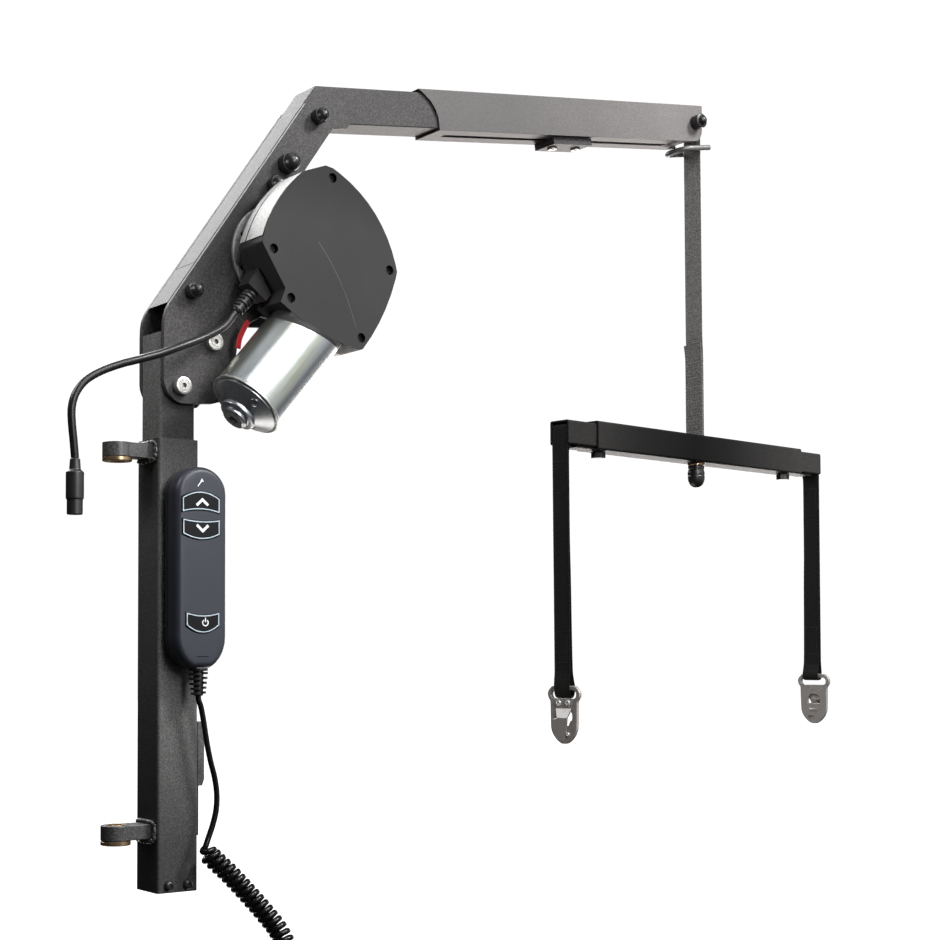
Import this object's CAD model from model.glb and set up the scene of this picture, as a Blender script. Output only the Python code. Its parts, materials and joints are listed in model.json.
# Looks of the car boot hoist: finishes, webbing, cords, connectors and handset
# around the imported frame.  Lengths are in metres, in the frame's own axes.
import bpy
import bmesh
import json
import random
from math import pi, sin, cos, radians, atan2, hypot, sqrt
from mathutils import Matrix, Vector, noise

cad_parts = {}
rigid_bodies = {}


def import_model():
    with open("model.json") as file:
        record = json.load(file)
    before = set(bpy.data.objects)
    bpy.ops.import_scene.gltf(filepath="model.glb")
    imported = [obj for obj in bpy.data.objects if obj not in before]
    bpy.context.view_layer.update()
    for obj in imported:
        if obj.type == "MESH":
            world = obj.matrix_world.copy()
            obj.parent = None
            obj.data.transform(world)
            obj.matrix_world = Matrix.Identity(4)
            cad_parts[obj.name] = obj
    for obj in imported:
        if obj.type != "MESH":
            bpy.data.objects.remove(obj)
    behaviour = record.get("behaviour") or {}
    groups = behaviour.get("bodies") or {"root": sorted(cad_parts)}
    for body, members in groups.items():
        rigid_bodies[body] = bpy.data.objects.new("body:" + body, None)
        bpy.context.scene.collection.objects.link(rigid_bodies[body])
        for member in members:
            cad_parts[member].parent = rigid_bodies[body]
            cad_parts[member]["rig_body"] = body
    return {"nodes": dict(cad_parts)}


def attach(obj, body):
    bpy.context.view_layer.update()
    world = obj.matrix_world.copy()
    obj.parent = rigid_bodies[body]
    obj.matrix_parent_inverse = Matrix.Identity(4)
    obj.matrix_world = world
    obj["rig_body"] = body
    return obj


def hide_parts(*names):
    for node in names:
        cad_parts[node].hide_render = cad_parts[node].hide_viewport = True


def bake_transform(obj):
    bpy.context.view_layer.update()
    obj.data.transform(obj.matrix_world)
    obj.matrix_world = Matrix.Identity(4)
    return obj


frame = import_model()
bpy.context.view_layer.update()
NODES = frame["nodes"]
MM = 0.001
scene = bpy.context.scene

# ------------------------------------------------------------ the hoist's own axes
TILT, RAKE = radians(8.34), radians(55.0)
KNEE = (145.9, 738.6)
DRUM = (97.2, 568.6)
PULLEY = (652.5, 795.6)
STRAP_X, STRAP_W = 670.0, 25.0
BAR_TOP, BAR, BAR_HALF = 447.9, 30.0, 185.5
BAR_YAW = radians(6.49)
ARM_END = 229.8
MOTOR_FOOT, MOTOR_Y, MOTOR_R, MOTOR_LEN = (43.8, 423.3), -59.0, 33.4, 90.5
MOTOR_TILT = radians(49.08)
SET_X, SET_TOP, SET_BOTTOM, SET_W, SET_BACK, SET_FRONT = 7.8, 368.5, 194.5, 50.0, -23.3, -49.0
LOOP_Z = {"Left": 170.4, "Right": 177.8}
PLATE_OFF = {"Left": 0.0, "Right": -2.7}


def W(x, y, z):
    return Vector(((x + 50.0) * MM, y * MM, (z - 42.3) * MM))


UB = Vector((cos(TILT), 0, sin(TILT)))
NB = Vector((sin(TILT), 0, -cos(TILT)))
UR = Vector((cos(RAKE), 0, sin(RAKE)))
NR = Vector((sin(RAKE), 0, -cos(RAKE)))
UM = Vector((cos(MOTOR_TILT), 0, sin(MOTOR_TILT)))
UD = Vector((cos(BAR_YAW), sin(BAR_YAW), 0))
ND = Vector((-sin(BAR_YAW), cos(BAR_YAW), 0))
YD = Vector((0, 1, 0))
BAR_MID = BAR_TOP - BAR / 2
BAR_LOW = BAR_TOP - BAR


def beam_xz(s, d):
    p = UB * s + NB * d
    return (KNEE[0] + p.x, KNEE[1] + p.z)


def rake_xz(a, d):
    p = UR * a + NR * d
    return (KNEE[0] + p.x, KNEE[1] + p.z)


def at(xz, y=0.0):
    return W(xz[0], y, xz[1])


def bar_point(t, n, z):
    p = UD * t + ND * n
    return W(STRAP_X + p.x, p.y, z)


def axes(origin, xa, ya):
    xa, ya = Vector(xa).normalized(), Vector(ya)
    za = xa.cross(ya).normalized()
    ya = za.cross(xa)
    m = Matrix((xa, ya, za)).transposed().to_4x4()
    m.translation = origin
    return m


def along(direction, origin, side=(0, 1, 0)):
    z = Vector(direction).normalized()
    x = Vector(side) - z * Vector(side).dot(z)
    if x.length < 1e-6:
        x = Vector((1, 0, 0)) - z * z.x
    x.normalize()
    m = Matrix((x, z.cross(x), z)).transposed().to_4x4()
    m.translation = origin
    return m


# ------------------------------------------------------------ camera
cam_data = bpy.data.cameras.new("Camera")
cam = bpy.data.objects.new("Camera", cam_data)
scene.collection.objects.link(cam)
scene.camera = cam
az, pitch, roll = radians(34.97), 0.042438, -0.00166
F = Vector((sin(az) * cos(pitch), cos(az) * cos(pitch), sin(pitch)))
R0 = Vector((cos(az), -sin(az), 0))
U0 = R0.cross(F)
R2 = R0 * cos(roll) + U0 * sin(roll)
U2 = U0 * cos(roll) - R0 * sin(roll)
m = Matrix((R2, U2, -F)).transposed().to_4x4()
m.translation = (-0.65341, -1.28691, 0.16732)
cam.matrix_world = m
cam_data.sensor_width, cam_data.lens = 36.0, 63.21
cam_data.shift_x, cam_data.shift_y = 0.1277, 0.117
cam_data.clip_start, cam_data.clip_end = 0.02, 100.0


# ------------------------------------------------------------ materials
class Mat:
    """A node material with a few shorthand calls."""

    def __init__(self, name):
        self.m = bpy.data.materials.new(name)
        self.m.use_nodes = True
        self.t = self.m.node_tree
        self.b = self.t.nodes["Principled BSDF"]
        self.coord = self.t.nodes.new("ShaderNodeTexCoord").outputs["Object"]

    def new(self, kind, **sockets):
        n = self.t.nodes.new(kind)
        for k, v in sockets.items():
            self.put(n.inputs[k.replace("_", " ")], v)
        return n

    def put(self, socket, v):
        if isinstance(v, bpy.types.NodeSocket):
            self.t.links.new(v, socket)
        else:
            socket.default_value = v

    def noise(self, scale, detail=2.0, rough=0.5, vector=None, distortion=0.0):
        n = self.new("ShaderNodeTexNoise", Scale=scale, Detail=detail, Roughness=rough,
                     Distortion=distortion, Vector=vector or self.coord)
        return n.outputs["Fac"]

    def turned(self, rotation=(0, 0, 0), scale=(1, 1, 1), vector=None):
        """The coordinate turned, then stretched."""
        a = self.new("ShaderNodeMapping", Vector=vector or self.coord)
        a.inputs["Rotation"].default_value = rotation
        b = self.new("ShaderNodeMapping", Vector=a.outputs[0])
        b.inputs["Scale"].default_value = scale
        return b.outputs[0]

    def ramp(self, fac, stops):
        n = self.new("ShaderNodeValToRGB", Fac=fac)
        e = n.color_ramp.elements
        while len(e) < len(stops):
            e.new(0.5)
        for k, (p, c) in enumerate(stops):
            e[k].position = p
            e[k].color = (*c, 1) if hasattr(c, "__len__") else (c, c, c, 1)
        return n.outputs["Color"]

    def mix(self, a, b, fac, kind="MIX"):
        n = self.t.nodes.new("ShaderNodeMix")
        n.data_type, n.blend_type = "RGBA", kind
        self.put(n.inputs[0], fac)
        self.put(n.inputs[6], a if isinstance(a, bpy.types.NodeSocket) else (*a, 1))
        self.put(n.inputs[7], b if isinstance(b, bpy.types.NodeSocket) else (*b, 1))
        return n.outputs[2]

    def math(self, kind, a, b=0.0, c=0.0):
        n = self.t.nodes.new("ShaderNodeMath")
        n.operation = kind
        for k, v in enumerate((a, b, c)):
            if k < len(n.inputs):
                self.put(n.inputs[k], v)
        return n.outputs[0]

    def span(self, v, lo, hi):
        n = self.new("ShaderNodeMapRange", Value=v)
        n.inputs["To Min"].default_value, n.inputs["To Max"].default_value = lo, hi
        return n.outputs["Result"]

    def bump(self, height, strength, distance, normal=None):
        n = self.new("ShaderNodeBump", Height=height, Strength=strength, Distance=distance)
        if normal is not None:
            self.put(n.inputs["Normal"], normal)
        return n.outputs["Normal"]

    def set(self, **sockets):
        for k, v in sockets.items():
            v = (*v, 1) if isinstance(v, tuple) and len(v) == 3 else v
            self.put(self.b.inputs[k.replace("_", " ")], v)
        return self.m


def powder(name, base, speck=0.3, rough=0.5, spec=0.5, tint=(1.0, 0.985, 0.975), grain=760.0, fade=(), axis="Z", left=()):
    """Textured powder coat: a fine orange peel with light and dark specks, and a coat whose tone drifts along one axis.

    left holds the tone of the left face, as steps along X.
    """
    g = Mat(name)
    dark = tuple(base * (1 - speck) * t for t in tint)
    light = tuple(base * (1 + 1.6 * speck) * t for t in tint)
    mid = tuple(base * t for t in tint)
    fine = g.noise(grain, 3.0, 0.65)
    col = g.ramp(fine, [(0.40, dark), (0.5, mid), (0.61, light)])
    broad = g.ramp(g.noise(14.0, 2.0), [(0.3, 0.9), (0.7, 1.08)])
    col = g.mix(col, broad, 1.0, "MULTIPLY")
    if fade:
        along_axis = g.new("ShaderNodeSeparateXYZ", Vector=g.coord).outputs[axis]
        col = g.mix(col, g.ramp(along_axis, [(h, k) for h, k in fade]), 1.0, "MULTIPLY")
    if left:
        across = g.new("ShaderNodeSeparateXYZ", Vector=g.coord).outputs["X"]
        col = g.mix(col, g.ramp(across, [(h, k) for h, k in left]), 1.0, "MULTIPLY")
    peel = g.bump(g.noise(grain * 1.7, 2.0), 0.35, 0.00025)
    return g.set(Base_Color=col, Roughness=g.span(g.noise(grain * 0.8), rough - 0.07, rough + 0.09),
                 Normal=g.bump(g.noise(300.0, 2.0), 0.12, 0.0004, peel), Specular_IOR_Level=spec)


def plastic(name, base, rough=0.45, grain=2600.0, strength=0.2, spec=0.5, vary=0.12, tint=(1, 1, 1), fade=()):
    """Moulded plastic with a fine spark-eroded grain and faint flow marks."""
    g = Mat(name)
    a = tuple(base * (1 - vary) * t for t in tint)
    b = tuple(base * (1 + vary) * t for t in tint)
    col = g.ramp(g.noise(9.0, 3.0, 0.6, distortion=0.6), [(0.3, a), (0.7, b)])
    if fade:
        z = g.new("ShaderNodeSeparateXYZ", Vector=g.coord).outputs["Z"]
        col = g.mix(col, g.ramp(z, [(h, k) for h, k in fade]), 1.0, "MULTIPLY")
    n = g.bump(g.noise(grain, 2.0), strength, 0.00012)
    return g.set(Base_Color=col, Roughness=g.span(g.noise(60.0, 3.0), rough - 0.04, rough + 0.05), Normal=n,
                 Specular_IOR_Level=spec)


def steel(name, base, rough, vary=0.08, grain=420.0, tint=(1, 1, 1), metal=1.0, strength=0.12):
    """Plain metal with small spots and handling marks."""
    g = Mat(name)
    a = tuple(base * (1 - vary) * t for t in tint)
    b = tuple(min(1.0, base * (1 + vary)) * t for t in tint)
    col = g.ramp(g.noise(grain, 3.0, 0.6), [(0.35, a), (0.65, b)])
    n = g.bump(g.noise(grain * 2.3, 2.0), strength, 0.0002)
    return g.set(Base_Color=col, Roughness=g.span(g.noise(90.0, 4.0, 0.7), rough * 0.75, rough * 1.3), Metallic=metal, Normal=n)


def zinc_can():
    """Zinc plate rolled along the motor's axis: fine streaks, and bands of faint colour."""
    g = Mat("Zinc plated can")
    turned = (0, MOTOR_TILT, 0)
    fine = g.noise(1.0, 3.0, 0.7, g.turned(turned, (22, 900, 900)))
    band = g.noise(1.0, 2.0, 0.5, g.turned(turned, (2.0, 46, 46)))
    cloud = g.noise(120.0, 4.0, 0.7)
    col = g.ramp(band, [(0.30, (0.46, 0.50, 0.55)), (0.45, (0.57, 0.61, 0.62)), (0.52, (0.56, 0.59, 0.49)), (0.60, (0.58, 0.61, 0.64)), (0.74, (0.61, 0.63, 0.67))])
    col = g.mix(col, g.ramp(fine, [(0.3, 0.82), (0.7, 1.04)]), 1.0, "MULTIPLY")
    rough = g.math("ADD", g.span(fine, 0.24, 0.40), g.span(cloud, -0.04, 0.06))
    n = g.bump(fine, 0.10, 0.0001, g.bump(cloud, 0.06, 0.0003))
    return g.set(Base_Color=col, Roughness=rough, Metallic=1.0, Normal=n)


def webbing(name, base, across, light=1.7, tint=(1.0, 0.95, 0.93), pitch=1.9, speck=0.5, ribs=(0.78, 1.08), sheen=0.12):
    """Woven strap: cross ribs, fine yarns along it and specks where yarns turn under."""
    g = Mat(name)
    yarn = g.noise(1.0, 2.0, 0.6, g.turned((0, 0, across), (2200, 1500, 420)))
    speckle = g.noise(1.0, 3.0, 0.75, g.turned((0, 0, across), (900, 1000, 800)))
    dark, mid, pale = (tuple(base * k * t for t in tint) for k in (1 - speck, 1.0, light))
    col = g.ramp(speckle, [(0.41, dark), (0.5, mid), (0.60, pale)])
    z = g.new("ShaderNodeSeparateXYZ", Vector=g.coord).outputs["Z"]
    rib = g.math("SINE", g.math("MULTIPLY", z, 2 * pi / (pitch * MM)))
    shade = g.span(g.math("ADD", g.math("MULTIPLY", rib, 0.5), 0.5), *ribs)
    grey = g.new("ShaderNodeCombineXYZ", X=shade, Y=shade, Z=shade).outputs[0]
    col = g.mix(col, grey, 1.0, "MULTIPLY")
    n = g.bump(yarn, 0.5, 0.0003, g.bump(rib, 0.25, 0.0002))
    return g.set(Base_Color=col, Roughness=0.86, Normal=n, Specular_IOR_Level=0.25, Sheen_Weight=sheen, Sheen_Roughness=0.5)


M_MAST = powder("Powder coat mast", 0.095, 0.36, 0.5, 0.4, fade=[(0.0, 0.34), (0.14, 1.02), (0.27, 1.08), (0.36, 0.32), (0.40, 0.16), (0.52, 0.30)],
                left=[(0.0303, 0.06), (0.0312, 1.0)])
M_INNER = powder("Powder coat inner mast", 0.15, 0.36, 0.5, 0.2, left=[(0.0328, 1.0), (0.0337, 0.16)])
M_BOOM = powder("Powder coat boom", 0.042, 0.30, 0.48, 0.13, (1.0, 0.95, 0.95), fade=[(0.45, 0.8), (0.68, 1.0)])
M_CHEEK = powder("Powder coat cheek plates", 0.056, 0.30, 0.48, 0.13, (1.0, 0.96, 0.96), fade=[(0.36, 0.9), (0.47, 0.85), (0.52, 0.5), (0.566, 0.15), (0.60, 0.55), (0.64, 0.75), (0.70, 0.73)])
M_SLEEVE = powder("Powder coat sleeve", 0.112, 0.16, 0.52, 0.36, (1.0, 0.93, 0.915), fade=[(0.38, 0.46), (0.44, 0.52), (0.535, 0.68), (0.66, 1.06)], axis="X")
M_BAR = powder("Powder coat spreader", 0.006, 0.18, 0.46, 0.10, (1, 0.95, 0.93), fade=[(0.54, 3.0), (0.60, 1.3), (0.70, 0.25), (0.76, 1.0), (0.82, 2.8), (0.90, 5.0)], axis="X")
M_LUG = powder("Powder coat lugs", 0.046, 0.42, 0.40, 0.6, grain=560.0)
M_COVER = plastic("Case plastic", 0.025, 0.46, 2400.0, 0.25, 0.14, tint=(1, 0.965, 1.0), fade=[(0.44, 1.12), (0.545, 0.96), (0.575, 0.55), (0.60, 0.25)])
M_CASE = plastic("Case plastic gloss", 0.022, 0.24, 1800.0, 0.08)
M_PLUG = plastic("Moulded plug", 0.013, 0.40, 2600.0, 0.3)
M_CAP = plastic("Cap plastic", 0.011, 0.33, 1900.0, 0.2)
M_SET = plastic("Handset plastic", 0.027, 0.44, 3000.0, 0.3, 0.45, 0.06, (0.87, 0.97, 1.36))
M_SETBACK = plastic("Handset back plastic", 0.016, 0.36, 3000.0, 0.3, 0.5, 0.06, (0.95, 1.0, 1.1))
M_KEY = plastic("Key membrane", 0.004, 0.34, 3200.0, 0.15, 0.25, 0.1, (0.95, 1.0, 1.25))
M_ZINC = zinc_can()
M_BRIGHT = steel("Bright plated steel", 0.46, 0.34, 0.25, 700.0, (1, 0.985, 0.96), 0.85, 0.3)
M_FLANGE = steel("Flange steel", 0.34, 0.42, 0.25, 160.0, (1, 1, 0.99), 0.6)
M_BLACK = steel("Black oxide steel", 0.035, 0.36, 0.25, 500.0, (1, 1, 1.02), 0.6)
M_BELL = steel("Dark end bell", 0.46, 0.33, 0.06, 350.0, (0.95, 1.0, 1.06), 0.95, 0.02)
M_BOSS = steel("Bearing boss", 0.62, 0.2, 0.15, 500.0, (0.98, 1.0, 1.03), 1.0, 0.05)
M_BRONZE = steel("Bronze bush", 0.42, 0.30, 0.22, 260.0, (1.0, 0.70, 0.42), 0.9)
M_CAST = steel("Cast connector", 0.36, 0.40, 0.16, 700.0, (1.0, 0.94, 0.90), 0.35, 0.35)
M_LATCH = steel("Latch leaf", 0.40, 0.38, 0.08, 900.0, (1.0, 0.95, 0.92), 0.35, 0.2)
M_PIN = steel("Polished latch pin", 0.85, 0.16, 0.06, 300.0, (1, 0.99, 0.96), 0.45)
M_STRAP = webbing("Grey lift webbing", 0.165, 0.0, 1.7, speck=0.45)
M_STRAPS = webbing("Black side webbing", 0.0045, -BAR_YAW, 1.5, pitch=2.1, speck=0.2, ribs=(0.35, 1.5), sheen=0.03)
M_THREAD = webbing("Strap stitching", 0.15, 0.0, 1.4, pitch=0.7)
M_CABLE = plastic("Cable jacket", 0.006, 0.34, 500.0, 0.06, 0.35)
M_CURLY = plastic("Curly lead jacket", 0.0035, 0.26, 700.0, 0.08, 0.30)
M_LABEL = steel("Bare foil patch", 0.44, 0.50, 0.18, 500.0, (1, 0.995, 0.985), 0.3)
M_RED = plastic("Red wire jacket", 0.34, 0.38, 900.0, 0.1, 0.2, 0.25, (1.0, 0.02, 0.03))
M_PRINT = plastic("Printed mark", 0.86, 0.5, 2500.0, 0.05, 0.4, 0.03, (0.93, 0.97, 1.0))
M_EDGEPRINT = plastic("Printed key border", 0.55, 0.45, 900.0, 0.05, 0.4, 0.25, (0.72, 0.88, 1.0))
M_SEAM = plastic("Cap seam", 0.085, 0.35, 1500.0, 0.1, 0.5, 0.3)
M_DARK = plastic("Dark recess", 0.004, 0.6, 900.0, 0.1, 0.2)


# ------------------------------------------------------------ building tools
def link(obj, mat, body, replaces=(), smooth=38.0, flat=True):
    if obj.name not in scene.collection.objects:
        scene.collection.objects.link(obj)
    obj.data.materials.clear()
    obj.data.materials.append(mat)
    if obj.type == "MESH" and smooth is not None:
        obj.data.shade_smooth()
        obj.data.set_sharp_from_angle(angle=radians(smooth))
        if flat:
            md = obj.modifiers.new("Normals", "WEIGHTED_NORMAL")
            md.mode, md.weight, md.keep_sharp = "FACE_AREA", 100, True
    if body:
        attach(obj, body)
    if replaces:
        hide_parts(*([replaces] if isinstance(replaces, str) else replaces))
    return obj


def mesh_object(name, verts, faces):
    me = bpy.data.meshes.new(name)
    me.from_pydata([tuple(v) for v in verts], [], faces)
    bm = bmesh.new()
    bm.from_mesh(me)
    bmesh.ops.recalc_face_normals(bm, faces=bm.faces)
    bm.to_mesh(me)
    bm.free()
    return bpy.data.objects.new(name, me)


def bake(obj):
    """The object with its modifiers applied and its place put into its mesh."""
    if obj.name not in scene.collection.objects:
        scene.collection.objects.link(obj)
    bpy.context.view_layer.update()
    deps = bpy.context.evaluated_depsgraph_get()
    mesh = bpy.data.meshes.new_from_object(obj.evaluated_get(deps))
    mesh.transform(obj.matrix_world)
    name = obj.name
    bpy.data.objects.remove(obj, do_unlink=True)
    mesh.name = name
    return bpy.data.objects.new(name, mesh)


def welded(obj, dist=2e-6):
    bm = bmesh.new()
    bm.from_mesh(obj.data)
    bmesh.ops.remove_doubles(bm, verts=bm.verts, dist=dist)
    bmesh.ops.dissolve_degenerate(bm, edges=bm.edges, dist=1e-7)
    bmesh.ops.recalc_face_normals(bm, faces=bm.faces)
    bm.to_mesh(obj.data)
    bm.free()
    return obj


def slab(name, loops, thick, matrix, edge=0.0, res=3):
    """Flat outline with holes, extruded about its middle, with rounded rims."""
    cu = bpy.data.curves.new(name, "CURVE")
    cu.dimensions, cu.fill_mode = "2D", "BOTH"
    cu.extrude = thick * MM / 2 - edge * MM
    cu.bevel_depth, cu.bevel_resolution, cu.offset = edge * MM, res, -edge * MM
    for pts in loops:
        sp = cu.splines.new("POLY")
        sp.points.add(len(pts) - 1)
        for k, (x, y) in enumerate(pts):
            sp.points[k].co = (x * MM, y * MM, 0, 1)
        sp.use_cyclic_u = True
    ob = bpy.data.objects.new(name, cu)
    ob.matrix_world = matrix
    return welded(bake(ob))


def side_plate(name, loops, y0, y1, edge=0.0, res=3):
    local = [[(x + 50.0, z - 42.3) for x, z in pts] for pts in loops]
    m = axes(Vector((0, (y0 + y1) / 2 * MM, 0)), (1, 0, 0), (0, 0, 1))
    return slab(name, local, abs(y1 - y0), m, edge, res)


def lathe(name, profile, matrix, steps=48):
    """Closed turned body from (radius, height) in mm; it starts and ends on the axis, or is a ring."""
    ring = profile[0][0] > 0
    verts, faces = [], []
    n = len(profile)
    for k in range(steps):
        a = 2 * pi * k / steps
        for r, h in profile:
            verts.append(matrix @ Vector((r * cos(a) * MM, r * sin(a) * MM, h * MM)))
    for k in range(steps):
        k2 = (k + 1) % steps
        for i in range(n if ring else n - 1):
            j = (i + 1) % n
            faces.append((k * n + i, k2 * n + i, k2 * n + j, k * n + j))
    return welded(mesh_object(name, verts, faces))


def arc(cx, cy, r, a0, a1, n):
    return [(cx + r * cos(radians(a0 + (a1 - a0) * i / n)),
             cy + r * sin(radians(a0 + (a1 - a0) * i / n))) for i in range(n + 1)]


def circle(cx, cy, r, n=32):
    return arc(cx, cy, r, 0, 360, n)[:-1]


def rounded(w, h, r, n=6, cx=0.0, cy=0.0):
    x, y = w / 2 - r, h / 2 - r
    pts = []
    for sx, sy, a in ((1, 1, 0), (-1, 1, 90), (-1, -1, 180), (1, -1, 270)):
        pts += arc(cx + sx * x, cy + sy * y, r, a, a + 90, n)
    return pts


def smooth_path(points, step):
    p = [points[0] * 2 - points[1]] + points + [points[-1] * 2 - points[-2]]
    fine = []
    for i in range(1, len(p) - 2):
        for k in range(24):
            t = k / 24
            fine.append(0.5 * ((2 * p[i]) + (p[i + 1] - p[i - 1]) * t
                               + (2 * p[i - 1] - 5 * p[i] + 4 * p[i + 1] - p[i + 2]) * t * t
                               + (3 * p[i] - 3 * p[i + 1] + p[i + 2] - p[i - 1]) * t ** 3))
    fine.append(points[-1].copy())
    total = sum((b - a).length for a, b in zip(fine, fine[1:]))
    n = max(2, round(total / step))
    out, acc, want = [fine[0].copy()], 0.0, total / n
    for a, b in zip(fine, fine[1:]):
        seg = (b - a).length
        while acc + seg >= want - 1e-12 and len(out) < n:
            out.append(a.lerp(b, (want - acc) / seg))
            want += total / n
        acc += seg
    out.append(fine[-1].copy())
    return out


def path_length(pts):
    return sum((b - a).length for a, b in zip(pts, pts[1:]))


def wire(name, pts, radius, res=6):
    cu = bpy.data.curves.new(name, "CURVE")
    cu.dimensions = "3D"
    cu.bevel_depth, cu.bevel_resolution, cu.use_fill_caps = radius * MM, res, True
    sp = cu.splines.new("POLY")
    sp.points.add(len(pts) - 1)
    for k, p in enumerate(pts):
        sp.points[k].co = (*p, 1)
    sp.use_smooth = True
    return bpy.data.objects.new(name, cu)


def boolean(obj, tool, kind="DIFFERENCE"):
    for o in (obj, tool):
        if o.name not in scene.collection.objects:
            scene.collection.objects.link(o)
    md = obj.modifiers.new("cut", "BOOLEAN")
    md.operation, md.solver, md.object = kind, "EXACT", tool
    new = bake(obj)
    bpy.data.objects.remove(tool, do_unlink=True)
    return welded(new)


def refined(node, mat, body=None, edge=0.5, segs=2, angle=32.0, rules=(), smooth=38.0, clamp=True):
    """The node's own shape with its flat faces rejoined and its edges rounded, standing in for it."""
    src = NODES[node]
    me = bpy.data.meshes.new(node + "_Finish")
    bm = bmesh.new()
    bm.from_mesh(src.data)
    bmesh.ops.remove_doubles(bm, verts=bm.verts, dist=2e-6)
    bmesh.ops.dissolve_limit(bm, angle_limit=radians(0.6), verts=bm.verts, edges=bm.edges)
    bm.normal_update()

    def turn(e):
        return e.calc_face_angle(0.0) if len(e.link_faces) == 2 else 0.0

    for width, n, pick in rules:
        chosen = [e for e in bm.edges if turn(e) > radians(angle) and pick(e)]
        if chosen:
            bmesh.ops.bevel(bm, geom=chosen, offset=width * MM, segments=n, profile=0.5,
                            affect="EDGES", clamp_overlap=True)
            bm.normal_update()
    if edge:
        chosen = [e for e in bm.edges if turn(e) > radians(angle)]
        bmesh.ops.bevel(bm, geom=chosen, offset=edge * MM, segments=segs, profile=0.5,
                        affect="EDGES", clamp_overlap=clamp)
    bmesh.ops.recalc_face_normals(bm, faces=bm.faces)
    bm.to_mesh(me)
    bm.free()
    ob = bpy.data.objects.new(node + "_Finish", me)
    return link(ob, mat, body or src["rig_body"], node, smooth)


def finish_node(node, mat):
    o = NODES[node]
    o.data.materials.clear()
    o.data.materials.append(mat)


def bar_edge(direction, least=8.0):
    """Picks long edges that run along one direction."""
    d = Vector(direction).normalized()

    def pick(e):
        v = e.verts[1].co - e.verts[0].co
        return v.length > least * MM and abs(v.normalized().dot(d)) > 0.995
    return pick


# ------------------------------------------------------------ cords
RELIEF_DIR = Vector((-0.667, 0, -0.745))
relief_top = W(57.5, -48, 526.0)
LEAD = [relief_top + RELIEF_DIR * 26.3 * MM, W(28.5, -49.2, 493.0), W(10.1, -50.4, 481.9), W(-4.5, -51.6, 475.2),
        W(-15.9, -52.6, 470.3), W(-36, -53.6, 461.9), W(-56, -54.6, 455.0), W(-75.3, -55, 448.6), W(-93.8, -55.2, 440.6),
        W(-107.8, -55.4, 431.4), W(-116.2, -55.6, 420.3), W(-119.8, -55.8, 408.6), W(-119.8, -56, 396.5),
        W(-118.2, -56, 381.5), W(-116.8, -56, 367)]
lead_pts = smooth_path(LEAD, 0.003)
lead = link(wire("Power_Lead_Cable", lead_pts, 3.4), M_CABLE, "boom", "Power_Lead")

LEAD_END = SET_BOTTOM - 0.3 - 22.9 - 0.8
HAND = [W(10.9, -36, LEAD_END), W(11.0, -36, LEAD_END - 3.5), W(13.5, -36, 160.5), W(16.4, -36, 147), W(19.2, -36, 131),
        W(22.9, -36, 114.5), W(27.4, -36, 98.5), W(29.5, -36, 84.5), W(28.9, -36, 71.2), W(25.6, -36, 58.5),
        W(21.2, -36, 47.2)]
CURLY = [W(19.8, -36, 36.4), W(22.2, -37.8, 31.9), W(26.9, -41, 26.3), W(36.4, -47.3, 15.6), W(47.9, -54.5, 1.0), W(61.1, -62.8, -16.7),
         W(72.8, -70.1, -34.8), W(80.0, -73.8, -56), W(83.6, -75, -84), W(84.2, -75, -122)]
WIRE_R, COIL_R, PITCH = 2.6, 7.0, 5.9
axis_pts = smooth_path(CURLY, 0.00028)
STEP = path_length(axis_pts) / MM / (len(axis_pts) - 1)
coil, side_u = [], None
for k, c in enumerate(axis_pts[:-1]):
    d = (axis_pts[k + 1] - c).normalized()
    if side_u is None:
        side_u = Vector((-0.65, 0, -0.76))
    side_u = (side_u - d * side_u.dot(d)).normalized()
    side_v = d.cross(side_u)
    s = k * STEP
    total = (len(axis_pts) - 1) * STEP
    turn = -2 * pi * s / PITCH
    if s > total - 3.0:
        continue
    r = COIL_R * min(1.0, 0.30 + (total - 3.0 - s) / 9.0, 0.82 + s / 20.0)
    coil.append(c + (side_u * cos(turn) + side_v * sin(turn)) * r * MM)
run_in = smooth_path(HAND + [W(17.4, -36.6, 39.0), coil[0] + Vector((0.0001, 0.0010, 0.0024)), coil[3], coil[9]], 0.0012)
cut = min(range(len(run_in)), key=lambda i: (run_in[i] - coil[3]).length)
hand_pts = run_in[:cut] + coil[3:]
hand_pts = hand_pts + [axis_pts[-1] + Vector((0, 0, 0.0006))]
# ease the lead into the first turn, and the last turn into the plug
for _ in range(10):
    for lo, hi in ((cut - 7, cut + 8), (len(hand_pts) - 14, len(hand_pts) - 1)):
        eased = [hand_pts[i - 1] * 0.25 + hand_pts[i] * 0.5 + hand_pts[i + 1] * 0.25 for i in range(lo, hi)]
        hand_pts[lo:hi] = eased
hand = link(wire("Handset_Curly_Cable", hand_pts, WIRE_R, 5), M_CURLY, "handset", ("Handset_Lead", "Handset_Curly_Lead"))


# ------------------------------------------------------------ mast
def corner(e, half, keep=0.6):
    return all(abs(abs(v.co.y) - half * MM) < keep * MM for v in e.verts)


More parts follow.
